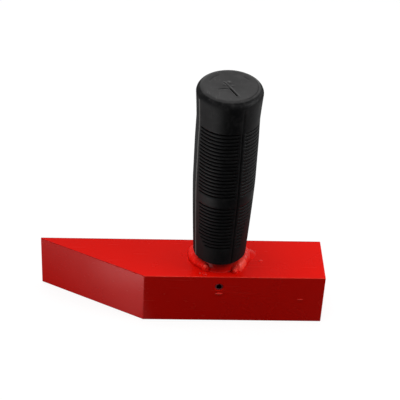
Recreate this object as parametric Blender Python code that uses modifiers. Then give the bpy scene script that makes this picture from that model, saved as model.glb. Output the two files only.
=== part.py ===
# Stonemason hammer: a solid square steel bar with a one-sided chisel bevel, a tube handle that is
# socketed, pinned and welded into its top, and a ribbed push-on grip.
# Metres, +Z up. The origin is the point of the head's lower face under the handle's axis.
# +X runs to the square striking face, -X to the blade, and -Y to the bevelled side.

import math

import bmesh
import bpy
from mathutils import Matrix

MM = 0.001

# Gap that meshes keep to each other, and how far a cutter reaches past what it cuts.
GAP = 0.3 * MM
CUT_PAST = 2 * MM
ROUND_SIDES = 32
PIN_SIDES = 20
MERGE = 0.00001
SHARP_ANGLE = math.radians(35)

# Head bar
BAR_WIDTH = 40 * MM
BAR_HEIGHT = 40 * MM
BLADE_REACH = 124 * MM
FACE_REACH = 73 * MM
BEVEL_LENGTH = 72.2 * MM
TIP_FLAT = 1.3 * MM
EDGE_ROUND = 0.58 * MM
EDGE_STEPS = 2
EASED_FROM_ANGLE = math.radians(20)
TIP_EASE_SHARE = 0.45
SOCKET_DEPTH = 18.6 * MM

# Handle tube, whose length follows from the grip that it runs up into
TUBE_OUTER = 30 * MM
TUBE_WALL = 2.5 * MM

# Cross pin: a slotted spring pin through the head and the tube, at half the socket's depth
PIN_HOLE = 6 * MM
PIN_WALL = 0.9 * MM
PIN_SLOT = 1.8 * MM
PIN_RECESS = 0.5 * MM

# Weld beads: each is an arc of round section that the tube and the head's top cut to a fillet
BLADE_WELD_LEG = 7 * MM
FACE_WELD_LEG = 8.2 * MM
WELD_SINK = 2.5 * MM
WELD_END_SHARE = 0.5
WELD_END_FADE_SHARE = 0.14
WELD_EDGE_MARGIN = 1 * MM
WELD_STEPS = 25
WELD_SIDES = 24
BLADE_WELD_MIDDLE = math.radians(180)
BLADE_WELD_HALF = math.radians(57)
FACE_WELD_MIDDLE = math.radians(3)
FACE_WELD_HALF = math.radians(52)

# Grip: a sleeve on the tube, with its walls measured from its bore and its heights from its mouth
GRIP_OVER_WELD = 0.9 * MM
GRIP_LENGTH = 133.5 * MM
GRIP_END_WALL = 3.5 * MM
MOUTH_WALL = 2.2 * MM
MOUTH_ROUND = 0.8 * MM
BELLY_WALL = 5.35 * MM
BELLY_FROM = 63 * MM
BELLY_POWER = 1.25
NECK_WALL = 5.12 * MM
NECK_BELOW_TOP = 22.5 * MM
NECK_FADE = 20 * MM
RIM_WALL = 6.3 * MM
RIM_ROUND = 4.4 * MM
RIM_STEPS = 6
TOP_DIMPLE = 0.5 * MM
DIMPLE_RADIUS = 10 * MM

# Rib grooves: two bands with a plain band between them, and smooth strips that run up through both
LOWER_COLLAR = 14.85 * MM
LOWER_RIBS = 34.4 * MM
MIDDLE_BAND = 10.1 * MM
UPPER_COLLAR = 24.55 * MM
RIB_PITCH = 2.8 * MM
GROOVE_WIDTH = 1.2 * MM
GROOVE_DEPTH = 0.6 * MM
STRIP_COUNT = 4
STRIP_ANGLE = math.radians(26)

# Heights and places that follow from the sizes above
HEAD_TOP = BAR_HEIGHT
SOCKET_FLOOR = HEAD_TOP - SOCKET_DEPTH
TUBE_RADIUS = TUBE_OUTER / 2
BORE_RADIUS = TUBE_RADIUS + GAP
PIN_HEIGHT = HEAD_TOP - SOCKET_DEPTH / 2
PIN_RADIUS = PIN_HOLE / 2 - GAP
PIN_LENGTH = BAR_WIDTH - 2 * PIN_RECESS
GRIP_MOUTH = HEAD_TOP + max(BLADE_WELD_LEG, FACE_WELD_LEG) + GRIP_OVER_WELD
GRIP_BORE_DEPTH = GRIP_LENGTH - GRIP_END_WALL
TUBE_FOOT = SOCKET_FLOOR + GAP
TUBE_TOP = GRIP_MOUTH + GRIP_BORE_DEPTH - GAP
NECK_HEIGHT = GRIP_LENGTH - NECK_BELOW_TOP
RIM_HEIGHT = GRIP_LENGTH - RIM_ROUND


def start_scene():
    """Empties the scene and makes the two collections."""
    for old in list(bpy.data.objects):
        bpy.data.objects.remove(old)
    found = {}
    for name in ("stonemason_hammer", "cutters"):
        found[name] = bpy.data.collections.new(name)
        bpy.context.scene.collection.children.link(found[name])
    return found["stonemason_hammer"], found["cutters"]


def finish_material(name, colour, roughness, metallic):
    """A Principled material of one colour."""
    material = bpy.data.materials.new(name)
    material.use_nodes = True
    shader = material.node_tree.nodes["Principled BSDF"]
    shader.inputs["Base Color"].default_value = (*colour, 1)
    shader.inputs["Roughness"].default_value = roughness
    shader.inputs["Metallic"].default_value = metallic
    material.diffuse_color = (*colour, 1)
    return material


def add_object(name, mesh, collection, material=None):
    """Puts a mesh in the scene as one named object."""
    thing = bpy.data.objects.new(name, mesh)
    collection.objects.link(thing)
    if material:
        mesh.materials.clear()
        mesh.materials.append(material)
    return thing


def mesh_from(bm, name):
    """Turns a bmesh into mesh data."""
    mesh = bpy.data.meshes.new(name)
    bm.to_mesh(mesh)
    bm.free()
    return mesh


def box_mesh(name, low, high):
    """A box between two corners."""
    bm = bmesh.new()
    bmesh.ops.create_cube(bm, size=1)
    sizes = [b - a for a, b in zip(low, high)]
    middle = [(a + b) / 2 for a, b in zip(low, high)]
    bmesh.ops.scale(bm, vec=sizes, verts=bm.verts)
    bmesh.ops.translate(bm, vec=middle, verts=bm.verts)
    return mesh_from(bm, name)


def rod_mesh(name, radius, low, high, axis="Z", sides=ROUND_SIDES):
    """A solid cylinder on its own origin's axis, from low to high along it."""
    bm = bmesh.new()
    bmesh.ops.create_cone(
        bm, cap_ends=True, segments=sides, radius1=radius, radius2=radius, depth=high - low
    )
    bmesh.ops.translate(bm, vec=(0, 0, (low + high) / 2), verts=bm.verts)
    if axis == "Y":
        bmesh.ops.rotate(bm, matrix=Matrix.Rotation(-math.pi / 2, 3, "X"), verts=bm.verts)
    return mesh_from(bm, name)


def as_cutter(cutter):
    """Marks an object as a guide that is not part of the hammer."""
    cutter.hide_render = True
    cutter.display_type = "WIRE"
    return cutter


def cut(thing, cutter):
    """Takes the cutter out of a piece with a Boolean."""
    modifier = thing.modifiers.new(cutter.name, "BOOLEAN")
    modifier.operation = "DIFFERENCE"
    modifier.object = cutter
    modifier.solver = "EXACT"


def smooth(mesh):
    """Shades a round piece smooth, apart from its sharp edges."""
    mesh.shade_smooth()
    mesh.set_sharp_from_angle(angle=SHARP_ANGLE)


def settled_mesh(thing, name):
    """The mesh that an object's modifiers or curve give, merged and shaded smooth."""
    graph = bpy.context.evaluated_depsgraph_get()
    graph.update()
    mesh = bpy.data.meshes.new_from_object(thing.evaluated_get(graph))
    mesh.name = name
    bm = bmesh.new()
    bm.from_mesh(mesh)
    bmesh.ops.remove_doubles(bm, verts=bm.verts, dist=MERGE)
    bm.to_mesh(mesh)
    bm.free()
    smooth(mesh)
    return mesh


def turned(name, profile, collection):
    """A profile of (radius, height) points turned about Z."""
    mesh = bpy.data.meshes.new(name + "_profile")
    points = [(radius, 0, height) for radius, height in profile]
    edges = [(i, i + 1) for i in range(len(points) - 1)]
    mesh.from_pydata(points, edges, [])
    thing = add_object(name, mesh, collection)
    screw = thing.modifiers.new("turn", "SCREW")
    screw.steps = ROUND_SIDES
    screw.render_steps = ROUND_SIDES
    screw.use_merge_vertices = True
    screw.merge_threshold = MERGE
    return thing


def make_cutters(cutters):
    """The socket and the cross hole, which more than one piece is cut with."""
    socket = add_object(
        "socket_cutter",
        rod_mesh("socket_cutter", BORE_RADIUS, SOCKET_FLOOR, HEAD_TOP + CUT_PAST),
        cutters,
    )
    half = BAR_WIDTH / 2 + CUT_PAST
    cross = add_object(
        "pin_hole_cutter",
        rod_mesh("pin_hole_cutter", PIN_HOLE / 2, -half, half, "Y", PIN_SIDES),
        cutters,
    )
    cross.location = (0, 0, PIN_HEIGHT)
    return as_cutter(socket), as_cutter(cross)


def make_head_bar(parts, paint, socket, cross):
    """The square bar: sawn at a slant to the blade, its edges eased and its holes bored."""
    half = BAR_WIDTH / 2
    bar = box_mesh("head_bar", (-BLADE_REACH, -half, 0), (FACE_REACH, half, BAR_HEIGHT))
    bm = bmesh.new()
    bm.from_mesh(bar)
    # The sawn face runs from the bevelled side to the blunt tip, which stays TIP_FLAT wide.
    slope = BAR_WIDTH - TIP_FLAT
    bmesh.ops.bisect_plane(
        bm,
        geom=bm.verts[:] + bm.edges[:] + bm.faces[:],
        plane_co=(-BLADE_REACH, half - TIP_FLAT, 0),
        plane_no=(-slope, -BEVEL_LENGTH, 0),
        clear_outer=True,
    )
    bmesh.ops.holes_fill(bm, edges=bm.edges, sides=0)
    bmesh.ops.recalc_face_normals(bm, faces=bm.faces)
    bm.to_mesh(bar)
    bm.free()
    head = add_object("head_bar", bar, parts, paint)
    ease = head.modifiers.new("eased edges", "BEVEL")
    ease.width = min(EDGE_ROUND, TIP_FLAT * TIP_EASE_SHARE)
    ease.segments = EDGE_STEPS
    ease.limit_method = "ANGLE"
    ease.angle_limit = EASED_FROM_ANGLE
    cut(head, socket)
    cut(head, cross)


def make_handle_tube(parts, paint, cross):
    """The plain tube that stands in the head's socket and runs up inside the grip."""
    inner = TUBE_RADIUS - TUBE_WALL
    profile = [
        (inner, TUBE_TOP),
        (TUBE_RADIUS, TUBE_TOP),
        (TUBE_RADIUS, TUBE_FOOT),
        (inner, TUBE_FOOT),
        (inner, TUBE_TOP),
    ]
    guide = turned("handle_tube_guide", profile, parts)
    tube = add_object("handle_tube", settled_mesh(guide, "handle_tube"), parts, paint)
    bpy.data.objects.remove(guide)
    cut(tube, cross)


def make_cross_pin(parts, cutters, steel):
    """The slotted spring pin, which lies a little below the head's two sides."""
    half = PIN_LENGTH / 2
    past = half + CUT_PAST
    rod = rod_mesh("cross_pin", PIN_RADIUS, -half, half, "Y", PIN_SIDES)
    smooth(rod)
    pin = add_object("cross_pin", rod, parts, steel)
    bore = add_object(
        "pin_bore_cutter",
        rod_mesh("pin_bore_cutter", PIN_RADIUS - PIN_WALL, -past, past, "Y", PIN_SIDES),
        cutters,
    )
    slot_low = (-PIN_SLOT / 2, -past, 0)
    slot_high = (PIN_SLOT / 2, past, PIN_RADIUS + CUT_PAST)
    slot = add_object("pin_slot_cutter", box_mesh("pin_slot_cutter", slot_low, slot_high), cutters)
    for thing in (pin, bore, slot):
        thing.location = (0, 0, PIN_HEIGHT)
    cut(pin, as_cutter(bore))
    cut(pin, as_cutter(slot))


def weld_section(leg):
    """Section radius of a bead with equal legs on the head and on the tube."""
    return math.hypot(leg + WELD_SINK, WELD_SINK)


def weld_half_angle(leg, wanted):
    """Half of a bead's arc, no longer than keeps its ends on the bar's top."""
    room = (BAR_WIDTH / 2 - WELD_EDGE_MARGIN) / (TUBE_RADIUS + leg)
    return min(wanted, math.asin(min(1.0, room)))


def weld_thickness(share):
    """How thick a bead is at a share of its arc: full, and rounded off at its two ends."""
    along = min(1.0, min(share, 1 - share) / WELD_END_FADE_SHARE)
    return WELD_END_SHARE + (1 - WELD_END_SHARE) * math.sqrt(1 - (1 - along) ** 2)


def make_weld(name, leg, middle, half_angle, parts, paint, spaces):
    """One bead: an arc round the tube's foot, trimmed to a fillet by the tube and the head."""
    ring = TUBE_RADIUS - WELD_SINK
    curve = bpy.data.curves.new(name + "_path", "CURVE")
    curve.dimensions = "3D"
    curve.bevel_depth = weld_section(leg)
    curve.bevel_resolution = WELD_SIDES // 4 - 2
    curve.use_fill_caps = True
    line = curve.splines.new("POLY")
    line.points.add(WELD_STEPS - 1)
    for i, point in enumerate(line.points):
        share = i / (WELD_STEPS - 1)
        angle = middle + half_angle * (2 * share - 1)
        point.co = (ring * math.cos(angle), ring * math.sin(angle), HEAD_TOP - WELD_SINK, 1)
        point.radius = weld_thickness(share)
    guide = add_object(name + "_path", curve, parts)
    bead = add_object(name, settled_mesh(guide, name), parts, paint)
    bpy.data.objects.remove(guide)
    for space in spaces:
        cut(bead, space)


def make_welds(parts, cutters, paint):
    """The two beads, one towards the blade and one towards the striking face."""
    section = weld_section(max(BLADE_WELD_LEG, FACE_WELD_LEG))
    reach = TUBE_RADIUS + section + CUT_PAST
    low = HEAD_TOP - WELD_SINK - section - CUT_PAST
    high = HEAD_TOP + section + CUT_PAST
    tube_mesh = rod_mesh("weld_tube_cutter", BORE_RADIUS, low, high)
    tube_space = as_cutter(add_object("weld_tube_cutter", tube_mesh, cutters))
    box = box_mesh("weld_head_cutter", (-reach, -reach, low), (reach, reach, HEAD_TOP + GAP))
    head_space = as_cutter(add_object("weld_head_cutter", box, cutters))
    spaces = (tube_space, head_space)
    for name, leg, middle, half in (
        ("weld_bead_blade_side", BLADE_WELD_LEG, BLADE_WELD_MIDDLE, BLADE_WELD_HALF),
        ("weld_bead_face_side", FACE_WELD_LEG, FACE_WELD_MIDDLE, FACE_WELD_HALF),
    ):
        make_weld(name, leg, middle, weld_half_angle(leg, half), parts, paint, spaces)


def grip_radius(height):
    """Outer radius of the grip, without its grooves, at a height above its mouth."""
    belly_to = NECK_HEIGHT - NECK_FADE
    if height <= BELLY_FROM:
        share = (BELLY_FROM - height) / BELLY_FROM
        wall = BELLY_WALL - (BELLY_WALL - MOUTH_WALL) * share**BELLY_POWER
    elif height <= belly_to:
        wall = BELLY_WALL
    elif height <= NECK_HEIGHT:
        wall = BELLY_WALL + (NECK_WALL - BELLY_WALL) * (height - belly_to) / NECK_FADE
    else:
        share = (height - NECK_HEIGHT) / (RIM_HEIGHT - NECK_HEIGHT)
        wall = NECK_WALL + (RIM_WALL - NECK_WALL) * share
    return BORE_RADIUS + wall


def spread(low, high):
    """Heights of grooves spaced evenly over a band, as near to RIB_PITCH as they come."""
    steps = max(1, round((high - low) / RIB_PITCH))
    return [low + (high - low) * i / steps for i in range(steps + 1)]


def groove_heights():
    """Heights of all the grooves' bottoms, lowest first."""
    lower_top = LOWER_COLLAR + LOWER_RIBS
    lower = spread(LOWER_COLLAR, lower_top)
    upper = spread(lower_top + MIDDLE_BAND, GRIP_LENGTH - UPPER_COLLAR)
    return lower + upper


def grip_profile():
    """The grip's half section: from the middle of its top, down outside and up its bore."""
    rim_radius = grip_radius(RIM_HEIGHT)
    points = [(0, GRIP_LENGTH - TOP_DIMPLE), (DIMPLE_RADIUS, GRIP_LENGTH - TOP_DIMPLE / 2)]
    for i in range(RIM_STEPS + 1):
        turn = math.pi / 2 * (1 - i / RIM_STEPS)
        radius = rim_radius - RIM_ROUND + RIM_ROUND * math.cos(turn)
        points.append((radius, RIM_HEIGHT + RIM_ROUND * math.sin(turn)))
    points.append((grip_radius(NECK_HEIGHT), NECK_HEIGHT))
    for middle in reversed(groove_heights()):
        for offset, depth in ((0.5, 0), (0, GROOVE_DEPTH), (-0.5, 0)):
            height = middle + offset * GROOVE_WIDTH
            points.append((grip_radius(height) - depth, height))
    points.append((grip_radius(MOUTH_ROUND), MOUTH_ROUND))
    points.append((grip_radius(0) - MOUTH_ROUND, 0))
    points.append((BORE_RADIUS, 0))
    points.append((BORE_RADIUS, GRIP_BORE_DEPTH))
    points.append((0, GRIP_BORE_DEPTH))
    return points


def raise_strips(mesh):
    """Fills the grooves along the smooth strips, each of which is one side of the turning wide."""
    step = 2 * math.pi / ROUND_SIDES
    per_strip = ROUND_SIDES // STRIP_COUNT
    heights = groove_heights()
    bm = bmesh.new()
    bm.from_mesh(mesh)
    for corner in bm.verts:
        radius = math.hypot(corner.co.x, corner.co.y)
        side = round(math.atan2(corner.co.y, corner.co.x) / step) % per_strip
        in_groove = any(abs(corner.co.z - height) < MERGE for height in heights)
        if in_groove and side in (0, 1):
            corner.co.x *= grip_radius(corner.co.z) / radius
            corner.co.y *= grip_radius(corner.co.z) / radius
    bm.to_mesh(mesh)
    bm.free()


def make_grip(parts, plastic):
    """The push-on grip: a closed-end sleeve with two bands of grooves and four smooth strips."""
    guide = turned("grip_guide", grip_profile(), parts)
    mesh = settled_mesh(guide, "grip")
    bpy.data.objects.remove(guide)
    raise_strips(mesh)
    smooth(mesh)
    grip = add_object("grip", mesh, parts, plastic)
    grip.location = (0, 0, GRIP_MOUTH)
    grip.rotation_euler[2] = STRIP_ANGLE - math.pi / ROUND_SIDES


def main():
    parts, cutters = start_scene()
    paint = finish_material("red_paint", (0.68, 0.012, 0.008), 0.32, 0.0)
    steel = finish_material("dark_steel", (0.05, 0.045, 0.045), 0.45, 0.9)
    plastic = finish_material("black_grip", (0.018, 0.018, 0.019), 0.5, 0.0)
    socket, cross = make_cutters(cutters)
    make_head_bar(parts, paint, socket, cross)
    make_handle_tube(parts, paint, cross)
    make_cross_pin(parts, cutters, steel)
    make_welds(parts, cutters, paint)
    make_grip(parts, plastic)


main()
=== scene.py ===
import math
from functools import reduce

import bmesh
import bpy
from mathutils import Matrix, Vector, noise


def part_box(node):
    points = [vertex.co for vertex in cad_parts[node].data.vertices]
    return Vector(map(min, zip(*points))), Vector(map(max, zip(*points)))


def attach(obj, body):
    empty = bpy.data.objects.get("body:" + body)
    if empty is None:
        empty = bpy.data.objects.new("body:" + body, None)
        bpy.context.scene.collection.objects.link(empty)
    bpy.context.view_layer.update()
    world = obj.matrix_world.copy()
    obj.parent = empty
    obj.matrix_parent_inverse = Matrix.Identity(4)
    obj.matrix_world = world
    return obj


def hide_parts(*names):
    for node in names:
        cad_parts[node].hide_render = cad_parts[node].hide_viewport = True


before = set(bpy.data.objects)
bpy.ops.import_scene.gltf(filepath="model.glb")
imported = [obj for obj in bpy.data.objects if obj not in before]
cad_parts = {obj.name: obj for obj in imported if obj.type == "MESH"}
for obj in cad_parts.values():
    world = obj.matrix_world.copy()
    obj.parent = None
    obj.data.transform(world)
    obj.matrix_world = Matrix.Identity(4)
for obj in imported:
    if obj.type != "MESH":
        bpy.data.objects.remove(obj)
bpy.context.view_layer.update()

mm = 0.001
headLow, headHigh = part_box("head_bar")
tubeLow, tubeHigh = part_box("handle_tube")
pinLow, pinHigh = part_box("cross_pin")
gripLow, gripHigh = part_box("grip")
headTop = headHigh.z
tubeRadius = (tubeHigh.x - tubeLow.x) / 2
boreRadius = tubeRadius + 0.3 * mm  # of the head's socket and of the grip
pinRadius = (pinHigh.x - pinLow.x) / 2
pinMiddle = Vector((0, 0, pinLow.z + pinRadius))
cutPast = 2 * mm  # how far a cutter reaches past what it cuts
near = 0.01 * mm  # what lies closer than this counts as touching


# Small helpers for modelling by operators

def editMode():
    bpy.ops.object.mode_set(mode="EDIT")


def objectMode():
    bpy.ops.object.mode_set(mode="OBJECT")


def deselectAll():
    if bpy.context.object and bpy.context.object.mode != "OBJECT":
        objectMode()
    bpy.ops.object.select_all(action="DESELECT")


def selectOnly(piece):
    deselectAll()
    piece.select_set(True)
    bpy.context.view_layer.objects.active = piece


def selectMesh():
    bpy.ops.mesh.select_all(action="SELECT")


def pick(kind, test):
    # selects the edges or faces of the edited piece that pass the test
    bpy.ops.mesh.select_mode(type=kind)
    bpy.ops.mesh.select_all(action="DESELECT")
    mesh = bpy.context.object.data
    shape = bmesh.from_edit_mesh(mesh)
    for part in {"EDGE": shape.edges, "FACE": shape.faces}[kind]:
        if test(part):
            part.select_set(True)
    bmesh.update_edit_mesh(mesh)


def cutPlane(place, normal, keepBelow=False, fill=False):
    # cuts the edited piece with a plane and drops what lies below it, or only adds the cut
    bpy.ops.mesh.select_mode(type="VERT")
    selectMesh()
    bpy.ops.mesh.bisect(
        plane_co=place,
        plane_no=Vector(normal).normalized(),
        threshold=0.0001 * mm,
        use_fill=fill,
        clear_inner=not keepBelow,
    )


def tidyMesh():
    # in edit mode: merges doubles and turns all faces outwards
    bpy.ops.mesh.select_mode(type="VERT")
    selectMesh()
    bpy.ops.mesh.remove_doubles(threshold=0.001 * mm)
    bpy.ops.mesh.normals_make_consistent(inside=False)


def applyModifier(piece, kind, **settings):
    selectOnly(piece)
    modifier = piece.modifiers.new(kind.lower(), kind)
    for name, value in settings.items():
        setattr(modifier, name, value)
    bpy.ops.object.modifier_apply(modifier=modifier.name)


def cutWith(piece, cutter):
    applyModifier(piece, "BOOLEAN", operation="DIFFERENCE", object=cutter, solver="EXACT")
    bpy.data.objects.remove(cutter)


def applyPlace():
    bpy.ops.object.transform_apply(location=True, rotation=True, scale=True)


def settle(piece, smoothAngle=35):
    # puts the piece's place into its mesh, and shades it smooth up to an angle
    selectOnly(piece)
    applyPlace()
    bpy.ops.object.shade_smooth_by_angle(angle=math.radians(smoothAngle))


def joinTo(piece, others):
    selectOnly(piece)
    for other in others:
        other.select_set(True)
    bpy.ops.object.join()


def coverWith(piece, material):
    piece.data.materials.clear()
    piece.data.materials.append(material)


def rodAlongY(name, radius, low, high, place, sides=48, ends="NGON"):
    deselectAll()
    bpy.ops.mesh.primitive_cylinder_add(
        vertices=sides,
        radius=radius,
        depth=high - low,
        end_fill_type=ends,
        location=(place.x, (low + high) / 2, place.z),
        rotation=(math.pi / 2, 0, 0),
    )
    rod = bpy.context.object
    rod.name = name
    applyPlace()
    return rod


# Curves for shaping, from 0 to 1

def smoothStep(low, high, value):
    share = min(1.0, max(0.0, (value - low) / (high - low)))
    return share * share * (3 - 2 * share)


def between(stops, value):
    # rises over the first two stops and falls over the last two
    start, full, fading, end = stops
    return smoothStep(start, full, value) * (1 - smoothStep(fading, end, value))


def bell(away, width):
    return math.exp(-((away / width) ** 2))


# Shader maths: a wire is one socket, and arithmetic on wires adds Math nodes

class Wire:
    def __init__(self, tree, socket=None):
        self.tree = tree
        self.socket = socket

    def node(self, kind, settings, inputs, output=0):
        made = self.tree.nodes.new("ShaderNode" + kind)
        for name, value in settings.items():
            setattr(made, name, value)
        for key, value in inputs.items():
            if isinstance(value, Wire):
                self.tree.links.new(value.socket, made.inputs[key])
            else:
                made.inputs[key].default_value = value
        if made.outputs:
            return Wire(self.tree, made.outputs[output])

    def maths(self, operation, first, second):
        return self.node("Math", {"operation": operation}, {0: first, 1: second})

    def __add__(self, other):
        return self.maths("ADD", self, other)

    def __sub__(self, other):
        return self.maths("SUBTRACT", self, other)

    def __rsub__(self, other):
        return self.maths("SUBTRACT", other, self)

    def __neg__(self):
        return 0.0 - self

    def __mul__(self, other):
        return self.maths("MULTIPLY", self, other)

    def __pow__(self, other):
        return self.maths("POWER", self, other)

    def __rpow__(self, other):
        return self.maths("POWER", other, self)

    def __abs__(self):
        return self.maths("ABSOLUTE", self, 0.0)

    __radd__ = __add__
    __rmul__ = __mul__

    def most(self, other):
        return self.maths("MAXIMUM", self, other)

    def step(self, low, high):
        # 0 up to low, 1 from high on, smooth between them
        settings = {"interpolation_type": "SMOOTHSTEP"}
        return self.node("MapRange", settings, {"Value": self, "From Min": low, "From Max": high})

    def mix(self, first, second):
        # this wire is the factor between two colours
        return self.node("Mix", {"data_type": "RGBA"}, {0: self, 6: first, 7: second}, output=2)

    def noise(self, scale, detail=2.0, rough=0.5, lean=(1, 1, 1)):
        stretched = self.node("VectorMath", {"operation": "MULTIPLY"}, {0: self, 1: lean})
        inputs = {"Vector": stretched, "Scale": scale, "Detail": detail, "Roughness": rough}
        return self.node("TexNoise", {}, inputs)

    def bump(self, distance, under=None):
        inputs = {"Height": self, "Distance": distance, "Strength": 1.0}
        if under:
            inputs["Normal"] = under
        return self.node("Bump", {}, inputs)


def highest(*wires):
    return reduce(Wire.most, wires)


def splitPlace(place):
    # the wires of x, y and z
    split = place.node("SeparateXYZ", {}, {0: place}).socket.node
    return [Wire(place.tree, output) for output in split.outputs]


def spot(place, middle, reach):
    # 1 in the middle of an ellipsoid, fading to 0 at its skin
    away = place.node("VectorMath", {"operation": "SUBTRACT"}, {0: place, 1: middle})
    scaled = place.node("VectorMath", {"operation": "DIVIDE"}, {0: away, 1: reach})
    distance = place.node("VectorMath", {"operation": "LENGTH"}, {0: scaled}, output="Value")
    return 1 - distance.step(0.35, 1.0)


def startMaterial(name, **constants):
    material = bpy.data.materials.new(name)
    material.use_nodes = True
    shader = material.node_tree.nodes["Principled BSDF"]
    for socket, value in constants.items():
        shader.inputs[socket.replace("_", " ")].default_value = value
    place = Wire(material.node_tree).node("TexCoord", {}, {}, output="Object")
    return material, shader, place


def plug(node, **links):
    for socket, wire in links.items():
        wire.tree.links.new(wire.socket, node.inputs[socket.replace("_", " ")])


# Red paint

paint = {
    "red": (0.70, 0.0046, 0.0012, 1),
    "deepRed": (0.655, 0.004, 0.0011, 1),
    "highlightRed": (0.95, 0.068, 0.045, 1),
    "scuff": (0.85, 0.11, 0.09, 1),
    "roughness": 0.26,
    "specular": 0.25,
    # scale, detail and roughness of each noise
    "mottle": (45, 4, 0.6),
    "cloud": (15.75, 2),
    "peel": (900, 2, 0.55),
    "wave": (110, 2),
    "hairs": (420, 2, 0.6, (0.06, 1, 1)),  # drawn out along X
    "peelDepth": 0.014 * mm,
    "waveDepth": 0.03 * mm,
    "hairShow": 0.012,
}


def makePaint(name, rough=0.0, shadedBelowMouth=False, pale=0.0, highlightAt=(), edges=False):
    material, shader, place = startMaterial(name, Specular_IOR_Level=paint["specular"])
    mottle = place.noise(*paint["mottle"])
    pooled = (mottle * 0.6 + place.noise(*paint["cloud"]) * 0.6).step(0.38, 0.78)
    hairs = place.noise(*paint["hairs"]).step(0.66, 0.76)
    colour = pooled.mix(paint["red"], paint["deepRed"])
    # painted shade on the tube below the grip's mouth
    if shadedBelowMouth:
        colour = shadeBelowMouth(place, colour, mottle)
    # painted highlight on a weld bead's crest and spots
    if pale:
        colour = paintHighlightsOver(place, colour, pooled, pale, highlightAt)
    colour = (hairs * paint["hairShow"]).mix(colour, paint["scuff"])
    # wear and a painted highlight along the bar's edges, painted shade along others, and scuffs
    if edges:
        colour = barWearHighlightAndShade(place, colour)
    gloss = paint["roughness"] + rough + (mottle - 0.5) * 0.14 + hairs * 0.1
    normal = place.noise(*paint["wave"]).bump(paint["waveDepth"])
    normal = place.noise(*paint["peel"]).bump(paint["peelDepth"], under=normal)
    plug(shader, Base_Color=colour, Roughness=gloss, Normal=normal)
    return material


# Head bar

bar = {
    "bevelLength": 72.2 * mm,
    "tipFlat": 1.3 * mm,
    "edgeRound": 0.45 * mm,
    "edgeSegments": 4,
    "socketSides": 128,
    "holeRadius": 3 * mm,
    "holeLip": 0.35 * mm,
    # runs of paint on the bevelled side: x, z, half width, half height and depth in mm
    "runs": ((0.3, 24.8, 2.3, 0.9, 0.6), (56.8, 20.4, 2.2, 0.45, 0.4)),
    "runLumps": 0.25,
    "runLumpSize": 1.5 * mm,
    "runSink": 0.1 * mm,
    # scuffs there: x, z, half width and half height in mm, and strength
    "scuffs": ((0.2, 24.8, 3.4, 1.3, 0.5), (56.8, 20.4, 2.7, 0.55, 0.7), (-10, 4.0, 1.9, 1.1, 0.15)),
    "scuffDepth": 1.5 * mm,
    "grit": (1400, 2),  # the noise's scale and detail
    # paint worn thin along some edges, which also carry a painted highlight, with breaks in it, and
    # painted shade along others
    "edgeWidth": 0.75 * mm,
    "edgeHighlightShow": 0.44,
    "breaks": (260, 3),
    "edgeShadeRed": (0.16, 0.004, 0.006, 1),
}

slope = headHigh.y - headLow.y - bar["tipFlat"]
bevelAcross = Vector((slope, bar["bevelLength"], 0)).normalized()


def edgeBand(away, full, end, strength):
    # a band along an edge, from the distance to it; full and end are in edge widths
    width = bar["edgeWidth"]
    return (1 - away.step(width * full, width * end)) * strength


def scuffMark(place, x, z, wide, tall, strength):
    # on the bevelled side; in millimetres
    middle = (x * mm, headLow.y, z * mm)
    return spot(place, middle, (wide * mm, bar["scuffDepth"], tall * mm)) * strength


def barWearHighlightAndShade(place, colour):
    x, y, z = splitPlace(place)
    fromTop, fromFoot = headTop - z, z - headLow.z
    fromFront, fromBack = y - headLow.y, headHigh.y - y
    fromEnd = headHigh.x - x
    fromTip = x - headLow.x
    fromBevel = abs(fromTip * bevelAcross.x + (y - headHigh.y + bar["tipFlat"]) * bevelAcross.y)
    broken = 0.55 + place.noise(*bar["breaks"]).step(0.35, 0.6) * 0.45
    # pale lines along edges: partly paint worn thin, partly a painted highlight of the rounded edges
    wearAndHighlight = broken * highest(
        edgeBand(fromTop.most(fromFront), 0.3, 1.0, 1.0),
        edgeBand(fromTop.most(fromEnd), 0.2, 0.8, 0.6),
        edgeBand(fromFront.most(fromEnd), 0.2, 0.8, 0.5),
        edgeBand(fromFoot.most(fromFront), 0.2, 0.7, 0.2),
    )
    colour = (wearAndHighlight * bar["edgeHighlightShow"]).mix(colour, paint["highlightRed"])
    # painted shade: along the back edge, the bevel's edge and the foot the paint is darkened
    dark = highest(
        edgeBand(fromTop.most(fromBack), 0.6, 1.0, 0.8),
        edgeBand(fromTop.most(fromBevel), 0.35, 0.7, 0.6),
        edgeBand(fromFoot, 0.25, 0.6, 0.6),
    )
    colour = dark.mix(colour, bar["edgeShadeRed"])
    grit = 0.6 + place.noise(*bar["grit"]).step(0.35, 0.65) * 0.4
    scuffs = highest(*(scuffMark(place, *sizes) for sizes in bar["scuffs"])) * grit
    return scuffs.mix(colour, paint["scuff"])


def drillCross(piece, low, high):
    # the pin's hole, from one side of the piece to the other
    cutWith(piece, rodAlongY("hole", bar["holeRadius"], low - cutPast, high + cutPast, pinMiddle))


def makeRun(x, z, wide, tall, proud):
    # a run of paint that dried on the side of the bar
    deselectAll()
    place = (x * mm, headLow.y, z * mm)
    bpy.ops.mesh.primitive_uv_sphere_add(segments=28, ring_count=16, radius=mm, location=place)
    run = bpy.context.object
    run.scale = (wide, proud, tall)
    settle(run, smoothAngle=60)
    for corner in run.data.vertices:
        lump = noise.noise(corner.co / bar["runLumpSize"])
        corner.co.z += bar["runLumps"] * tall * mm * lump
    editMode()
    cutPlane((0, headLow.y + bar["runSink"], 0), (0, -1, 0), fill=True)
    tidyMesh()
    objectMode()
    return run


def isSharp(edge):
    # its faces meet at more than about 17 degrees
    return edge.calc_face_angle(0) > 0.3


def onHoleRim(edge):
    middle = (edge.verts[0].co + edge.verts[1].co) / 2
    away = math.hypot(middle.x - pinMiddle.x, middle.z - pinMiddle.z)
    fromSide = min(abs(middle.y - headLow.y), abs(middle.y - headHigh.y))
    return fromSide < near and away < bar["holeRadius"] + 0.1 * mm


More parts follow.
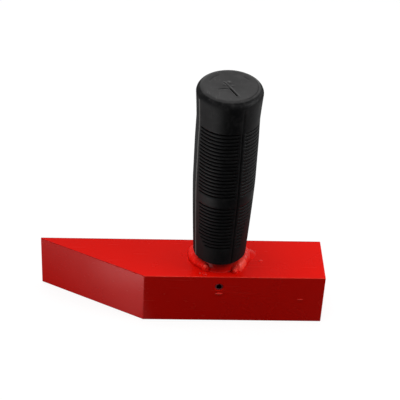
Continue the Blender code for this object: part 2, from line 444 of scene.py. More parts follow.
def makeHeadBar():
    deselectAll()
    middle = (headLow + headHigh) / 2
    bpy.ops.mesh.primitive_cube_add(size=1, location=middle, scale=headHigh - headLow)
    piece = bpy.context.object
    piece.name = "headBar"
    applyPlace()
    editMode()
    cutPlane((headLow.x, headHigh.y - bar["tipFlat"], 0), bevelAcross, fill=True)
    tidyMesh()
    pick("EDGE", isSharp)
    bpy.ops.mesh.bevel(
        offset=bar["edgeRound"], segments=bar["edgeSegments"], affect="EDGES", clamp_overlap=True
    )
    objectMode()
    drillCross(piece, headLow.y, headHigh.y)
    deselectAll()
    bpy.ops.mesh.primitive_cylinder_add(
        vertices=bar["socketSides"],
        radius=boreRadius,
        depth=headTop - tubeLow.z + cutPast,
        location=(0, 0, (headTop + tubeLow.z + cutPast) / 2),
    )
    cutWith(piece, bpy.context.object)
    # a small countersink at each end of the cross hole
    selectOnly(piece)
    editMode()
    pick("EDGE", onHoleRim)
    bpy.ops.mesh.bevel(offset=bar["holeLip"], segments=2, affect="EDGES")
    objectMode()
    settle(piece, smoothAngle=25)
    # the large faces keep their own direction, so they mirror flat right up to the rounded edges
    applyModifier(piece, "WEIGHTED_NORMAL", mode="FACE_AREA", keep_sharp=True)
    joinTo(piece, [makeRun(*sizes) for sizes in bar["runs"]])
    coverWith(piece, makePaint("barPaint", edges=True))
    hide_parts("head_bar")
    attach(piece, "root")


# Handle tube

tube = {
    "wall": 2.5 * mm,
    "sides": 128,
    "coveLevels": (0.0, 0.2 * mm, 0.45 * mm, 0.9 * mm),
    "coveReach": 0.6 * mm,
    "rough": 0.05,
    # painted shade below the grip's mouth: its colour, height and strength
    "mouthShade": (0.045, 0.003, 0.002, 1),
    "mouthShadeHeight": 11 * mm,
    "mouthShadeShow": 0.95,
}


def shadeBelowMouth(place, colour, mottle):
    # painted shade: the tube is darkened just below the grip's mouth, where the mouth shades it
    height = splitPlace(place)[2]
    black = height.step(gripLow.z - tube["mouthShadeHeight"], gripLow.z) * (0.8 + mottle * 0.2)
    return (black * tube["mouthShadeShow"]).mix(colour, tube["mouthShade"])


def makeHandleTube():
    deselectAll()
    bpy.ops.mesh.primitive_cylinder_add(
        vertices=tube["sides"],
        radius=tubeRadius,
        depth=tubeHigh.z - tubeLow.z,
        end_fill_type="NOTHING",
        location=(0, 0, (tubeHigh.z + tubeLow.z) / 2),
    )
    piece = bpy.context.object
    piece.name = "handleTube"
    applyPlace()
    applyModifier(piece, "SOLIDIFY", thickness=tube["wall"], offset=-1)
    editMode()
    for level in tube["coveLevels"]:
        cutPlane((0, 0, headTop + level), (0, 0, 1), keepBelow=True)
    objectMode()
    # a line of pooled paint runs round the tube's foot
    coveHeight = tube["coveLevels"][-1]
    for corner in piece.data.vertices:
        radius = math.hypot(corner.co.x, corner.co.y)
        rise = (corner.co.z - headTop) / coveHeight
        if radius > tubeRadius - 0.1 * mm and -0.01 < rise < 1:
            grown = 1 + tube["coveReach"] * (1 - rise) ** 2 / radius
            corner.co.x *= grown
            corner.co.y *= grown
    drillCross(piece, -tubeRadius, tubeRadius)
    settle(piece)
    coverWith(piece, makePaint("tubePaint", rough=tube["rough"], shadedBelowMouth=True))
    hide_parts("handle_tube")
    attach(piece, "root")


# Cross pin

pin = {
    "wall": 0.9 * mm,
    "slot": 1.8 * mm,
    "sides": 60,
    "round": 0.2 * mm,
    "metallic": 0.35,
    "roughness": 0.35,
    # red spray reached its end, and its bore gets painted shade, a near black
    "sprayed": (0.42, 0.08, 0.09, 1),
    "stained": (0.55, 0.05, 0.06, 1),
    "bore": (0.006, 0.002, 0.002, 1),
    # scale, detail and roughness of each noise
    "stains": (500, 3),
    "grain": (1600, 3, 0.6, (1, 0.15, 1)),  # drawn out along Y
    "grainDepth": 0.02 * mm,
}


def makePinSteel():
    material, shader, place = startMaterial("pinSteel", Metallic=pin["metallic"])
    grain = place.noise(*pin["grain"])
    stain = place.noise(*pin["stains"]).step(0.4, 0.7)
    colour = stain.mix(pin["sprayed"], pin["stained"])
    x, _, z = splitPlace(place)
    up = z - pinMiddle.z
    fromAxis = (x * x + up * up) ** 0.5
    # painted shade inside the pin's bore
    inside = 1 - fromAxis.step(pinRadius - pin["wall"], pinRadius - pin["wall"] * 0.7)
    colour = inside.mix(colour, pin["bore"])
    rough = pin["roughness"] + grain * 0.3
    plug(shader, Base_Color=colour, Roughness=rough, Normal=grain.bump(pin["grainDepth"]))
    return material


def inSlot(face):
    middle = face.calc_center_median()
    return abs(middle.x) < pin["slot"] / 2 and middle.z > pinMiddle.z


def makeCrossPin():
    piece = rodAlongY(
        "crossPin", pinRadius, pinLow.y, pinHigh.y, pinMiddle, sides=pin["sides"], ends="NOTHING"
    )
    editMode()
    # the slot runs along the top: its faces go before the wall gets its thickness
    for side in (-1, 1):
        cutPlane((side * pin["slot"] / 2, 0, 0), (1, 0, 0), keepBelow=True)
    pick("FACE", inSlot)
    bpy.ops.mesh.delete(type="FACE")
    tidyMesh()
    objectMode()
    applyModifier(piece, "SOLIDIFY", thickness=pin["wall"], offset=-1)
    applyModifier(piece, "BEVEL", width=pin["round"], segments=2, limit_method="ANGLE")
    settle(piece)
    coverWith(piece, makePinSteel())
    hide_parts("cross_pin")
    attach(piece, "root")


# Weld beads

beads = {
    "sink": 2.5 * mm,
    "under": 0.25 * mm,
    "circle": 8 * mm,
    "sides": 160,
    "stepsPerDegree": 1.8,
    "walkOut": 4 * mm,  # lengths along a bead are measured this far outside the tube
    "noseShare": 0.08,
    "noseLow": 0.22,
    "wanderLength": 4.5 * mm,
    "wanderReach": 0.13,
    "wanderRise": 0.06,
    "ripple": 0.05 * mm,
    "ripplePitch": 1.9 * mm,
    "rippleBow": 2.4 * mm,
    "shiver": 0.25,
    "shiverLength": 2.5 * mm,
    "lumpSize": 5.5 * mm,
    "lumpAcross": 3.2 * mm,
    "rough": 0.04,
    # a painted highlight on the crest of a bead, by the height above the bar, and at spots
    "highlightRise": (0.7 * mm, 2 * mm),
    "highlightShow": 0.92,
    # drops of spatter
    "dropSegments": 32,
    "dropRings": 20,
    "dropOval": 0.85,
    "dropLumps": 0.17,
    "dropSink": 0.15 * mm,
    "craterWidth": 0.5,
}

beadRuns = {
    # start and end in degrees from +X; reach on the bar and rise up the tube along the run, in mm
    "beadBladeSide": {
        "node": "weld_bead_blade_side",
        "start": 123,
        "end": 237,
        "reach": (4.6, 6.6, 7.4, 6.8, 5.0, 3.2, 2.6),
        "rise": (4.6, 6.0, 6.6, 6.6, 6.4, 6.2, 5.8),
        "fullness": 1.7,
        "lumps": 0.28 * mm,
        # how strongly the crest gets the painted highlight
        "pale": 0.05,
        # spots of painted highlight: their middles and reaches in mm
        "highlightAt": (
            ((-9.6, -13.6, 44.6), (2.6, 2.2, 1.9)),
            ((-10.3, -16.9, 41.6), (2.5, 2.5, 1.0)),
            ((-13.4, -16.9, 41.2), (1.2, 1.2, 0.9)),
        ),
        # drops: x, y, size and height in mm, the share of its height that is sunk, and the share
        # that a crater in its top takes away
        "spatter": (
            (-13.4, -16.9, 0.9, 0.9),
            (-10.3, -16.9, 2.2, 1.3, 0.0, 0.75),
            (-13.6, -15.2, 0.8, 0.8),
            (-9.5, -13.2, 2.3, 5.4),
            (-25.4, 3.0, 0.6, 0.4),
        ),
        "seed": 3.0,
    },
    "beadFaceSide": {
        "node": "weld_bead_face_side",
        "start": -56,
        "end": 56,
        "reach": (4.8, 5.3, 5.4, 7.2, 7.8, 7.0, 5.0),
        "rise": (4.8, 5.8, 6.2, 6.6, 6.6, 6.0, 4.6),
        "fullness": 2.0,
        "lumps": 0.4 * mm,
        # how strongly the crest gets the painted highlight
        "pale": 0.3,
        "highlightAt": (
            ((10.7, -14.2, 42.6), (2.6, 2.4, 1.6)),
            ((16.2, -9.5, 43.4), (6.0, 7.5, 4.5)),
            ((14.8, -13.4, 41.6), (2.2, 2.2, 1.8)),
            ((18.6, -7.6, 41.8), (2.2, 2.2, 1.8)),
        ),
        "spatter": (
            (20.0, 4.5, 8.2, 1.5, 0.6),
            (10.7, -13.9, 2.4, 3.0, 0.0, 0.35),
            (29.2, -2.7, 1.9, 1.0, 0.55),
            (26.0, 8.0, 0.7, 0.5),
        ),
        "seed": 9.0,
    },
}


def paintHighlightsOver(place, colour, pooled, pale, highlightAt):
    # painted highlight: the paint is made pale on the crest of a weld bead and at some spots of it
    start, full = beads["highlightRise"]
    height = splitPlace(place)[2]
    crestHighlight = (1 - pooled * 0.4) * height.step(headTop + start, headTop + full) * pale
    spots = [
        spot(place, Vector(middle) * mm, Vector(reach) * mm) * beads["highlightShow"]
        for middle, reach in highlightAt
    ]
    return highest(crestHighlight, *spots).mix(colour, paint["highlightRed"])


def makeDrop(x, y, size, height, sunk=0.0, crater=0.0):
    # a spatter ball that froze flat on the bar, under the paint
    deselectAll()
    middle = Vector((x * mm, y * mm, headTop - sunk * height * mm))
    bpy.ops.mesh.primitive_uv_sphere_add(
        segments=beads["dropSegments"],
        ring_count=beads["dropRings"],
        radius=size * mm,
        location=middle,
    )
    drop = bpy.context.object
    drop.scale = (1, beads["dropOval"], height / size)
    drop.rotation_euler[2] = x  # each drop is turned its own way
    settle(drop, smoothAngle=60)
    for corner in drop.data.vertices:
        away = math.hypot(corner.co.x - middle.x, corner.co.y - middle.y) / (size * mm)
        dent = crater * bell(away, beads["craterWidth"]) if corner.co.z > headTop else 0.0
        lump = beads["dropLumps"] * noise.noise(corner.co / (size * mm))
        corner.co.z += height * mm * (lump - dent)
    editMode()
    cutPlane((0, 0, headTop - beads["dropSink"]), (0, 0, 1), fill=True)
    tidyMesh()
    objectMode()
    return drop


def alongRun(values, share):
    # a smooth run through evenly spaced values, in millimetres
    at = min(0.9999, max(0.0, share)) * (len(values) - 1)
    first = int(at)
    return mm * (values[first] + (values[first + 1] - values[first]) * smoothStep(0, 1, at - first))


def beadSurface(run, share, turn, along):
    # how far a point of the outline lies out from the tube and up from the bar
    edge = min(1.0, min(share, 1 - share) / beads["noseShare"])
    nose = beads["noseLow"] + (1 - beads["noseLow"]) * math.sqrt(1 - (1 - edge) ** 2)
    wander = noise.noise(Vector((along / beads["wanderLength"], run["seed"], 0.5)))
    reach = alongRun(run["reach"], share) * nose * (1 + beads["wanderReach"] * wander)
    rise = alongRun(run["rise"], share) * nose * (1 + beads["wanderRise"] * wander)
    shiverAt = Vector((along / beads["shiverLength"], turn, run["seed"]))
    shiver = beads["shiver"] * noise.noise(shiverAt)
    bowed = along + beads["rippleBow"] * math.sin(2 * turn)
    phase = (bowed / beads["ripplePitch"] + shiver) % 1
    ripple = beads["ripple"] * (1 - 2 * abs(2 * phase - 1) ** 1.5)
    lumpAt = Vector((along, turn * beads["lumpAcross"], run["seed"] * mm)) / beads["lumpSize"]
    lump = run["lumps"] * (noise.noise(lumpAt) + 0.3 * noise.noise(lumpAt * 2.7))
    swell = (ripple + lump) * max(0.0, math.sin(2 * turn)) ** 0.5 * nose
    power = 2 / run["fullness"]
    out = reach * math.cos(turn) ** power + swell * math.cos(turn)
    lift = rise * math.sin(turn) ** power + swell * math.sin(turn)
    return out, lift


def shapeBead(piece, run, arc):
    ring = tubeRadius - beads["sink"]
    middleHeight = headTop - beads["sink"]
    section = max(math.hypot(c.co.x, c.co.y) for c in piece.data.vertices) - ring
    low = math.asin((beads["sink"] - beads["under"]) / section)
    high = math.pi / 2 - low
    for corner in piece.data.vertices:
        across = math.hypot(corner.co.x, corner.co.y) - ring
        up = corner.co.z - middleHeight
        if math.hypot(across, up) < section * 0.9:
            continue
        angle = math.atan2(corner.co.y, corner.co.x)
        share = min(1.0, max(0.0, angle / arc))
        turn = (math.atan2(up, across) - low) / (high - low) * math.pi / 2
        turn = min(math.pi / 2, max(0.0, turn))
        along = share * arc * (tubeRadius + beads["walkOut"])
        out, lift = beadSurface(run, share, turn, along)
        radius = tubeRadius - beads["under"] + out
        corner.co.x = radius * math.cos(angle)
        corner.co.y = radius * math.sin(angle)
        corner.co.z = headTop - beads["under"] + lift


def makeBead(name, run):
    degrees = run["end"] - run["start"]
    deselectAll()
    bpy.ops.mesh.primitive_circle_add(
        vertices=beads["sides"],
        radius=beads["circle"],
        fill_type="NGON",
        location=(tubeRadius - beads["sink"], 0, headTop - beads["sink"]),
        rotation=(math.pi / 2, 0, 0),
    )
    piece = bpy.context.object
    piece.name = name
    applyPlace()
    editMode()
    # the tube and the bar cut the circle to a quarter, whose outline is swept round the tube
    cutPlane((tubeRadius - beads["under"], 0, 0), (1, 0, 0))
    cutPlane((0, 0, headTop - beads["under"]), (0, 0, 1))
    selectMesh()
    bpy.ops.mesh.delete(type="ONLY_FACE")
    selectMesh()
    bpy.ops.mesh.spin(
        steps=round(degrees * beads["stepsPerDegree"]),
        angle=math.radians(degrees),
        center=(0, 0, 0),
        axis=(0, 0, -1),
    )
    selectMesh()
    bpy.ops.mesh.fill_holes(sides=0)
    tidyMesh()
    objectMode()
    shapeBead(piece, run, math.radians(degrees))
    piece.rotation_euler[2] = math.radians(run["start"])
    settle(piece, smoothAngle=60)
    joinTo(piece, [makeDrop(*sizes) for sizes in run["spatter"]])
    material = makePaint(name + "Paint", beads["rough"], pale=run["pale"], highlightAt=run["highlightAt"])
    coverWith(piece, material)
    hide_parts(run["node"])
    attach(piece, "root")


# Grip

grip = {
    "sides": 180,
    "mouthRadius": 18.1 * mm,
    "mouthRound": 0.6 * mm,
    "mouthSteps": 4,
    "bellyRadius": 20.8 * mm,
    "bellyFrom": 63 * mm,
    "bellyPower": 1.25,
    "neckRadius": 20.55 * mm,
    "neckBelowTop": 22.5 * mm,
    "neckFade": 20 * mm,
    "flarePower": 1.15,
    "rimRound": 4.4 * mm,
    "rimSteps": 14,
    "endWall": 3.5 * mm,
    # heights of the plain parts and of the ribbed ones, from the mouth up
    "lowerCollar": 14.85 * mm,
    "lowerRibs": 34.4 * mm,
    "middleBand": 10.1 * mm,
    "upperCollar": 24.55 * mm,
    "ribPitch": 2.8 * mm,
    "grooveWidth": 1.6 * mm,
    "grooveDepth": 0.85 * mm,
    "groovePoints": 8,
    # rings of points on the plain parts
    "footRings": 8,
    "footRingPitch": 1.7 * mm,
    "bandShares": (0.25, 0.5, 0.75),
    "collarRings": 9,
    "collarRingPitch": 2 * mm,
    "topRingPitch": 0.5 * mm,
    # two narrow strips carry the seams, two wide ones lie between them; in degrees
    "seamAt": 114,
    "stripHalf": 7.2,
    "stripFade": 1.8,
    "seamDepth": 0.28 * mm,
    # painted shade along the seams
    "seamDark": 0.7,
    "seamDarkOnCollar": 0.3,
    "seamBelowRim": 0.4 * mm,
    # in degrees from a seam: the first panel's end and the second panel's start, and by how much
    # they move over a range of heights
    "firstBefore": 75,
    "firstEnd": 17.5,
    "firstGrows": (38, 22 * mm, 60 * mm),
    "secondStart": 104,
    "secondGrows": (7, 35 * mm, 90 * mm),
    "secondStartsLate": (18, 13 * mm, 24 * mm),
    # a low ridge runs down each wide strip, this far round from a seam, and gets a painted highlight
    "ridgeAt": 91,
    "ridgeWidth": 2.4,
    "ridgeHeight": 0.3 * mm,
    "dishDepth": 0.42 * mm,
    # a fine line parts the closed end from the shoulder, on the face's side, with painted shade in
    # it; stops in degrees
    "partStops": (-75, -50, 25, 45),
    "partWidth": 0.5 * mm,
    "partDepth": 0.08 * mm,
    "partDark": 0.45,
    # the scar that the moulding's sprue left in the closed end; points and pips in millimetres
    "slit": ((-3.6, 3.5), (0.3, -3.8), (3.8, -11.2)),
    "slitWidth": 0.385 * mm,
    "slitDepth": 0.7 * mm,
    "slitShallow": 0.3,
    "slitDeepens": (1.5 * mm, 4.5 * mm),
    # painted shade in the slit
    "slitDark": 0.9,
    "lipWidth": 0.7 * mm,
    "lipHeight": 0.25 * mm,
    "farLip": 0.35,
    "cross": ((-7.6, -3.8), (-4.0, -2.7), (0.3, -3.6)),
    "crossWidth": 0.49 * mm,
    "crossDepth": 0.22 * mm,
    # x, y, size and height
    "pips": ((-0.6, 4.4, 1.2, 0.4), (-3.4, 1.6, 1.1, 0.32), (1.2, 0.4, 0.9, 0.2)),
    # painted highlight on the pips
    "pipHighlight": 0.5,
    "pipHighlightFrom": 0.75 * mm,
    # faint arcs of a ring, sunk and given painted shade, each with its stops in degrees
    "arcs": ((26, 35, 47, 56), (112, 121, 153, 162)),
    "arcRadius": 14.2 * mm,
    "arcWidth": 0.6 * mm,
    "arcDepth": 0.14 * mm,
    "arcDark": 0.35,
    # its plastic
    "black": (0.0050, 0.0050, 0.0054, 1),
    "wearAndHighlight": (0.060, 0.058, 0.058, 1),
    # painted highlight on the ridges and pips
    "crestHighlight": (0.16, 0.155, 0.15, 1),
    "crestHighlightShow": 0.8,
    # painted shade in the grooves, seams and lines: its colours and strength
    "deep": (0.001, 0.001, 0.001, 1),
    "grooveShadeColour": (0.0015, 0.0015, 0.0015, 1),
    "grooveShadeShow": 0.92,
    "specular": 0.12,
    "roughness": 0.46,
    "topCoat": 0.6,
    "topCoatRoughness": 0.5,
    # painted sheen: the closed end is made paler
    "topPaintedSheen": 0.28,
    # scale, detail and roughness of each noise
    "soft": (70, 3, 0.6),
    "haze": (220, 4, 0.65),
    "grain": (2600, 3, 0.6),
    "hairs": (900, 2, 0.6, (1, 1, 0.05)),  # drawn out along Z
    "scuffs": (650, 3, 0.7, (1, 0.15, 1)),  # drawn out along Y
    "softDepth": 0.10 * mm,
    "grainDepth": 0.022 * mm,
    "scuffDepth": 0.03 * mm,
}
gripLength = gripHigh.z - gripLow.z
rimRadius = (gripHigh.x - gripLow.x) / 2
shoulder = rimRadius - grip["rimRound"]
lowerRibsTop = grip["lowerCollar"] + grip["lowerRibs"]
upperRibsTop = gripLength - grip["upperCollar"]


def gripRadius(height):
    mouth, belly, neck = grip["mouthRadius"], grip["bellyRadius"], grip["neckRadius"]
    neckAt = gripLength - grip["neckBelowTop"]
    if height <= grip["bellyFrom"]:
        share = (grip["bellyFrom"] - height) / grip["bellyFrom"]
        return belly - (belly - mouth) * share ** grip["bellyPower"]
    if height <= neckAt:
        return belly + (neck - belly) * smoothStep(neckAt - grip["neckFade"], neckAt, height)
    share = (height - neckAt) / (gripLength - grip["rimRound"] - neckAt)
    return neck + (rimRadius - neck) * share ** grip["flarePower"]


def spread(low, high):
    steps = max(1, round((high - low) / grip["ribPitch"]))
    return [low + (high - low) * i / steps for i in range(steps + 1)]


grooves = spread(grip["lowerCollar"], lowerRibsTop)
grooves += spread(lowerRibsTop + grip["middleBand"], upperRibsTop)


def grooveShape(height):
    # how deep the grooves are at a height, from 0 on a rib to 1 at a groove's bottom
    nearest = min(abs(height - groove) for groove in grooves)
    share = min(1.0, nearest / (grip["grooveWidth"] / 2))
    return 0.5 + 0.5 * math.cos(math.pi * share)


def ribShare(fromSeam, height):
    # 1 on the ribbed panels, 0 on the smooth strips; the panels narrow towards the mouth
    half, fade = grip["stripHalf"], grip["stripFade"]
    clear = smoothStep(half - fade, half, min(fromSeam, 180 - fromSeam))
    if fromSeam < grip["firstBefore"]:
        growth, low, high = grip["firstGrows"]
        end = grip["firstEnd"] + growth * smoothStep(low, high, height)
        return clear * (1 - smoothStep(end, end + fade, fromSeam))
    growth, low, high = grip["secondGrows"]
    start = grip["secondStart"] - growth * smoothStep(low, high, height)
    late, low, high = grip["secondStartsLate"]
    start += late * (1 - smoothStep(low, high, height))
    return clear * smoothStep(start - fade, start, fromSeam)


def gripProfile():
    # from the middle of the top, down outside to the mouth and up the bore, as (radius, height)
    rings = round(shoulder / grip["topRingPitch"])
    points = [(shoulder * i / rings, gripLength) for i in range(rings)]
    for i in range(grip["rimSteps"] + 1):
        turn = math.pi / 2 * (1 - i / grip["rimSteps"])
        radius = shoulder + grip["rimRound"] * math.cos(turn)
        points.append((radius, gripLength - grip["rimRound"] * (1 - math.sin(turn))))
    heights = [upperRibsTop + grip["collarRingPitch"] * i for i in range(1, grip["collarRings"] + 1)]
    half = grip["grooveWidth"] / 2
    for groove in grooves:
        for i in range(grip["groovePoints"] + 1):
            heights.append(groove + half * (2 * i / grip["groovePoints"] - 1))
    heights += [grip["mouthRound"] + grip["footRingPitch"] * i for i in range(grip["footRings"])]
    heights += [lowerRibsTop + grip["middleBand"] * share for share in grip["bandShares"]]
    for height in sorted(heights, reverse=True):
        points.append((gripRadius(height), height))
    for i in range(1, grip["mouthSteps"] + 1):
        turn = math.pi / 2 * i / grip["mouthSteps"]
        radius = gripRadius(0) - grip["mouthRound"] * (1 - math.cos(turn))
        points.append((radius, grip["mouthRound"] * (1 - math.sin(turn))))
    points.append((boreRadius, 0))
    points.append((boreRadius, gripLength - grip["endWall"]))
    points.append((0, gripLength - grip["endWall"]))
    return points


def awayFromLine(x, y, line):
    # distance to a run of straight stretches, and which side the point is on
    nearest, side = 1.0, 1
    for (ax, ay), (bx, by) in zip(line, line[1:]):
        along, across = Vector((bx - ax, by - ay)), Vector((x - ax, y - ay))
        share = min(1.0, max(0.0, across.dot(along) / along.length_squared))
        gap = (across - along * share).length * mm
        if gap < nearest:
            nearest = gap
            side = 1 if along.x * across.y - along.y * across.x > 0 else -1
    return nearest, side


def topShape(x, y):
    # how far the closed end lies below the rim's top, and its painted shade in the slit and arcs,
    # less a painted highlight on the pips
    radius = math.hypot(x, y)
    dish = grip["dishDepth"] * (1 - (radius / shoulder) ** 2)
    slit, side = awayFromLine(x / mm, y / mm, grip["slit"])
    shallow = grip["slitShallow"]
    deepening = shallow + (1 - shallow) * smoothStep(*grip["slitDeepens"], -y)
    cut = deepening * bell(slit, grip["slitWidth"])
    lip = grip["lipHeight"] * bell(slit - grip["lipWidth"], grip["lipWidth"])
    lip *= 1.0 if side > 0 else grip["farLip"]
    cross, _ = awayFromLine(x / mm, y / mm, grip["cross"])
    faint = grip["crossDepth"] * bell(cross, grip["crossWidth"])
    turn = math.degrees(math.atan2(y, x))
    arc = bell(radius - grip["arcRadius"], grip["arcWidth"])
    arc *= sum(between(stops, turn) for stops in grip["arcs"])
    pips = sum(
        height * mm * bell(math.hypot(x / mm - px, y / mm - py), size)
        for px, py, size, height in grip["pips"]
    )
    # painted shade in the slit and arcs, and a painted highlight on the pips
    dark = max(cut * grip["slitDark"], arc * grip["arcDark"])
    dark -= min(grip["pipHighlight"], pips / grip["pipHighlightFrom"])
    sunk = dish + cut * grip["slitDepth"] + faint + arc * grip["arcDepth"] - lip - pips
    return max(0.0, sunk), dark


def shapeGrip(piece):
    hollows = [0.0] * len(piece.data.vertices)
    rimFoot = gripLength - grip["rimRound"]
    for corner in piece.data.vertices:
        x, y, height = corner.co.x, corner.co.y, corner.co.z
        radius = math.hypot(x, y)
        turn = math.degrees(math.atan2(y, x))
        if height > gripLength - near and radius < shoulder + near:
            sunk, hollows[corner.index] = topShape(x, y)
            corner.co.z -= sunk
            continue
        if radius > boreRadius and height > rimFoot:
            line = bell(radius - shoulder - grip["partWidth"], grip["partWidth"])
            line *= between(grip["partStops"], turn)
            corner.co.z -= grip["partDepth"] * line
            # painted shade in the part line
            hollows[corner.index] = grip["partDark"] * line
        if radius < boreRadius + 0.6 * mm or height > rimFoot:
            continue
        fromSeam = (turn - grip["seamAt"]) % 180
        hollow = grooveShape(height) * ribShare(fromSeam, height)
        depth = grip["grooveDepth"] * hollow
        onSeam = min(fromSeam, 180 - fromSeam) < 0.5
        # the seam's groove also gets painted shade
        if onSeam and grip["mouthRound"] * 3 < height < rimFoot - grip["seamBelowRim"]:
            depth += grip["seamDepth"]
            hollow = max(hollow, grip["seamDark" if height < upperRibsTop else "seamDarkOnCollar"])
        ridge = bell(fromSeam - grip["ridgeAt"], grip["ridgeWidth"])
        if ridge > 0.05:
            depth -= grip["ridgeHeight"] * ridge
            hollow -= ridge
        shrink = 1 - depth / radius
        corner.co.x *= shrink
        corner.co.y *= shrink
        hollows[corner.index] = hollow
    piece.data.attributes.new("hollow", "FLOAT", "POINT").data.foreach_set("value", hollows)


def makeGripPlastic():
    material, shader, place = startMaterial(
        "gripPlastic",
        Specular_IOR_Level=grip["specular"],
        Coat_Roughness=grip["topCoatRoughness"],
        Coat_IOR=1.5,
    )
    # the stored share is 1 in a groove, 0 on the plain surface and -1 on a ridge
    stored = place.node("Attribute", {"attribute_name": "hollow"}, {}, output="Fac")
    hollow = stored.step(0.0, 1.0)
    # painted highlight on the ridges and pips
    crestHighlight = (-stored).step(0.2, 1.0)
    height = splitPlace(place)[2]
    collarFrom = gripLow.z + upperRibsTop
    onTop = height.step(gripHigh.z - 0.8 * mm, gripHigh.z - 0.25 * mm)
    onCollar = height.step(collarFrom - 1 * mm, collarFrom + 3 * mm)
    nearMouth = 1 - height.step(gripLow.z + 12 * mm, gripLow.z + 60 * mm)
    soft = place.noise(*grip["soft"])
    haze = place.noise(*grip["haze"]).step(0.42, 0.75)
    hairs = place.noise(*grip["hairs"]).step(0.66, 0.74)
    scuffs = place.noise(*grip["scuffs"]).step(0.60, 0.72) * onTop
    wearAndHighlight = (haze * 0.25 + hairs * 0.35) * (0.4 + onCollar * 0.6) + scuffs * 0.6
    # the closed end is made paler as a painted sheen
    wearAndHighlight = wearAndHighlight * (0.5 + soft * 0.7) * (1 - hollow) + onTop * grip["topPaintedSheen"]
    # painted shade in the grooves, seams and lines
    grooveShade = hollow * grip["grooveShadeShow"]
    colour = wearAndHighlight.mix(grip["black"], grip["wearAndHighlight"])
    colour = (crestHighlight * grip["crestHighlightShow"]).mix(colour, grip["crestHighlight"])
    colour = grooveShade.mix(colour, grip["deep"])
    rough = grip["roughness"] + (soft - 0.5) * 0.22 + haze * 0.10 + nearMouth * 0.2
    normal = soft.bump(grip["softDepth"])
    normal = place.noise(*grip["grain"]).bump(grip["grainDepth"], under=normal)
    normal = scuffs.bump(grip["scuffDepth"], under=normal)
    coat = onTop * grip["topCoat"]
    plug(shader, Base_Color=colour, Roughness=rough, Coat_Weight=coat, Normal=normal)
    # painted shade in the grooves, seams and lines: a dull dark colour with no gloss
    glossy = Wire(material.node_tree, shader.outputs["BSDF"])
    dull = place.node("BsdfDiffuse", {}, {"Color": grip["grooveShadeColour"]})
    both = place.node("MixShader", {}, {0: grooveShade, 1: glossy, 2: dull})
    plug(material.node_tree.nodes["Material Output"], Surface=both)
    return material


def makeGrip():
    deselectAll()
    bpy.ops.mesh.primitive_plane_add(size=mm)
    piece = bpy.context.object
    piece.name = "gripSleeve"
    editMode()
    # the plane is shrunk to a point, and the point is drawn along the profile
    bpy.ops.mesh.merge(type="CENTER")
    points = gripProfile()
    bpy.ops.transform.translate(value=(points[0][0], 0, points[0][1]))
    for (radius, height), (nextRadius, nextHeight) in zip(points, points[1:]):
        move = (nextRadius - radius, 0, nextHeight - height)
        bpy.ops.mesh.extrude_vertices_move(TRANSFORM_OT_translate={"value": move})
    selectMesh()
    bpy.ops.mesh.spin(steps=grip["sides"], angle=2 * math.pi, center=(0, 0, 0), axis=(0, 0, 1))
    tidyMesh()
    objectMode()
    piece.rotation_euler[2] = math.radians(grip["seamAt"])
    selectOnly(piece)
    applyPlace()
    shapeGrip(piece)
    piece.location = (0, 0, gripLow.z)
    settle(piece, smoothAngle=50)
    coverWith(piece, makeGripPlastic())
    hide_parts("grip")
    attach(piece, "root")


# Studio

studio = {
    "cameraPlace": (-0.0626, -0.7299, 0.6580),
    "yaw": 3.717,
    "pitch": 37.787,
    "roll": 3.207,
    "lens": 124.08,
    "sensor": 36.0,
    "floorSize": 6.0,
    # what the floor scatters, for light and for the camera, and how it glows to the camera
    "floorLit": (0.10, 0.10, 0.10, 1),
    "floorSeen": (0.14, 0.14, 0.14, 1),
    "floorGlow": 0.88,
    # what gloss shows of the floor: both sides, less of it by the blade, and a soft round patch
    "sidesLevel": 0.6,
    "sidesStart": (0.02, 0.26),
    "sidesEnd": (0.16, 0.32),
    "sidesRounding": 0.03,
    "bladeSideStart": (0.04, 0.08),
    "bladeSideEnd": (0.13, 0.18),
    "bladeSideLess": 0.4,
    "patchPlace": (-0.11, -0.085, 0),
    "patchReach": (0.058, 0.075, 0.05),
    "patchLevel": 2.6,
    # the floor beside the bevel, which its painted side mirrors
    "besideLevel": 1.15,
    "besideStart": (0.036, 0.060),
    "besideEnd": (-0.04, 0.02),
    # light from round about, what gloss shows of it, and the pale sweep that stands behind
    "worldSide": 0.20,
    "worldMirrored": 0.2,
    "sweepStart": (0.1, 0.5),
    "sweepTop": (0.30, 0.58),
    "sweepLeft": (-0.6, -0.05),
    # lamps: place, aim, width, height, watts, seen in gloss
    "lamps": {
        "overheadBox": ((-0.24, 0.11, 1.08), (0, 0, 0.05), 1.1, 0.8, 10.9, False),
        "frontFill": ((-0.05, -1.4, 0.30), (0, 0, 0.03), 0.7, 0.3, 0.8, False),
        "bladeSideStrip": ((-1.10, -0.03, 0.013), (-0.08, 0, 0.022), 0.5, 0.022, 5.3, False),
        "faceSideBox": ((0.46, -0.09, 0.31), (0.02, 0, 0.05), 0.28, 0.32, 1.6, True),
    },
}


def makeCamera():
    data = bpy.data.cameras.new("photoCamera")
    data.lens = studio["lens"]
    data.sensor_width = studio["sensor"]
    data.clip_start = 0.01
    camera = bpy.data.objects.new("photoCamera", data)
    bpy.context.scene.collection.objects.link(camera)
    turn = Matrix.Rotation(-math.radians(studio["yaw"]), 4, "Z")
    tilt = Matrix.Rotation(math.radians(90 - studio["pitch"]), 4, "X")
    roll = Matrix.Rotation(math.radians(studio["roll"]), 4, "Z")
    camera.matrix_world = Matrix.Translation(studio["cameraPlace"]) @ turn @ tilt @ roll
    bpy.context.scene.camera = camera


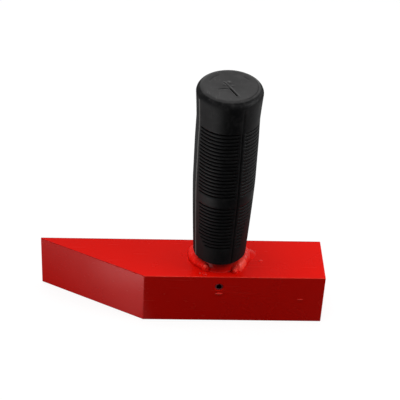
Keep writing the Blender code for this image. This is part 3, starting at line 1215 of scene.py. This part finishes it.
def makeLamp(name, place, aim, width, height, watts, mirrored):
    data = bpy.data.lights.new(name, "AREA")
    data.shape = "RECTANGLE"
    data.size = width
    data.size_y = height
    data.energy = watts
    lamp = bpy.data.objects.new(name, data)
    bpy.context.scene.collection.objects.link(lamp)
    lamp.location = place
    away = Vector(place) - Vector(aim)
    lamp.rotation_euler = away.to_track_quat("Z", "Y").to_euler()
    lamp.visible_glossy = mirrored


def emptyWires(owner):
    # a material's or a world's own tree, with nothing in it, and what kind of ray looks at it
    owner.use_nodes = True
    owner.node_tree.nodes.clear()
    wires = Wire(owner.node_tree)
    camera = wires.node("LightPath", {}, {}, output="Is Camera Ray")
    glossy = wires.node("LightPath", {}, {}, output="Is Glossy Ray")
    return wires, camera, glossy


def mirroredFloor(place):
    # how bright the floor is to gloss
    x, y, _ = splitPlace(place)
    toSide = (x * x + studio["sidesRounding"] ** 2) ** 0.5 + y * 0.7
    toBlade = -x
    sides = toSide.step(*studio["sidesStart"]) * (1 - y.step(*studio["sidesEnd"]))
    byBlade = toBlade.step(*studio["bladeSideStart"]) * (1 - toBlade.step(*studio["bladeSideEnd"]))
    sides = sides * (1 - byBlade * studio["bladeSideLess"])
    patch = spot(place, studio["patchPlace"], studio["patchReach"])
    beside = (y * 0.25 - x).step(*studio["besideStart"]) * (1 - y.step(*studio["besideEnd"]))
    level = sides * studio["sidesLevel"] + beside * studio["besideLevel"]
    return level + patch * studio["patchLevel"]


def makeFloor():
    deselectAll()
    bpy.ops.mesh.primitive_plane_add(size=studio["floorSize"])
    floor = bpy.context.object
    floor.name = "floor"
    material = bpy.data.materials.new("floorWhite")
    wires, camera, glossy = emptyWires(material)
    place = wires.node("TexCoord", {}, {}, output="Object")
    level = camera * studio["floorGlow"] + glossy * mirroredFloor(place)
    share = camera.mix(studio["floorLit"], studio["floorSeen"])
    share = glossy.mix(share, (0, 0, 0, 1))
    card = wires.node("BsdfDiffuse", {}, {"Color": share})
    glow = wires.node("Emission", {}, {"Color": (1, 1, 1, 1), "Strength": level})
    both = wires.node("AddShader", {}, {0: card, 1: glow})
    wires.node("OutputMaterial", {}, {"Surface": both})
    coverWith(floor, material)


def makeWorld():
    world = bpy.data.worlds.new("studioWorld")
    bpy.context.scene.world = world
    wires, camera, glossy = emptyWires(world)
    x, y, z = splitPlace(wires.node("TexCoord", {}, {}, output="Generated"))
    # the pale sweep behind the hammer shows in gloss, up to about 35 degrees
    sweep = y.step(*studio["sweepStart"]) * (1 - z.step(*studio["sweepTop"]))
    sweep = sweep * (0.35 + x.step(*studio["sweepLeft"]) * 0.65)
    ambient = z.step(0.0, 0.5) * studio["worldSide"]
    strength = ambient + (sweep + studio["worldMirrored"] - ambient) * glossy
    strength = strength + (1 - strength) * camera
    light = wires.node("Background", {}, {"Color": (1, 1, 1, 1), "Strength": strength})
    wires.node("OutputWorld", {}, {"Surface": light})


makeCamera()
print("camera set")
makeHeadBar()
print("head bar made")
makeHandleTube()
makeCrossPin()
print("tube and pin made")
for beadName, beadRun in beadRuns.items():
    makeBead(beadName, beadRun)
print("weld beads made")
makeGrip()
print("grip made")
for lampName, lampSettings in studio["lamps"].items():
    makeLamp(lampName, *lampSettings)
makeFloor()
makeWorld()
bpy.context.scene.view_settings.view_transform = "Standard"
print("studio made")
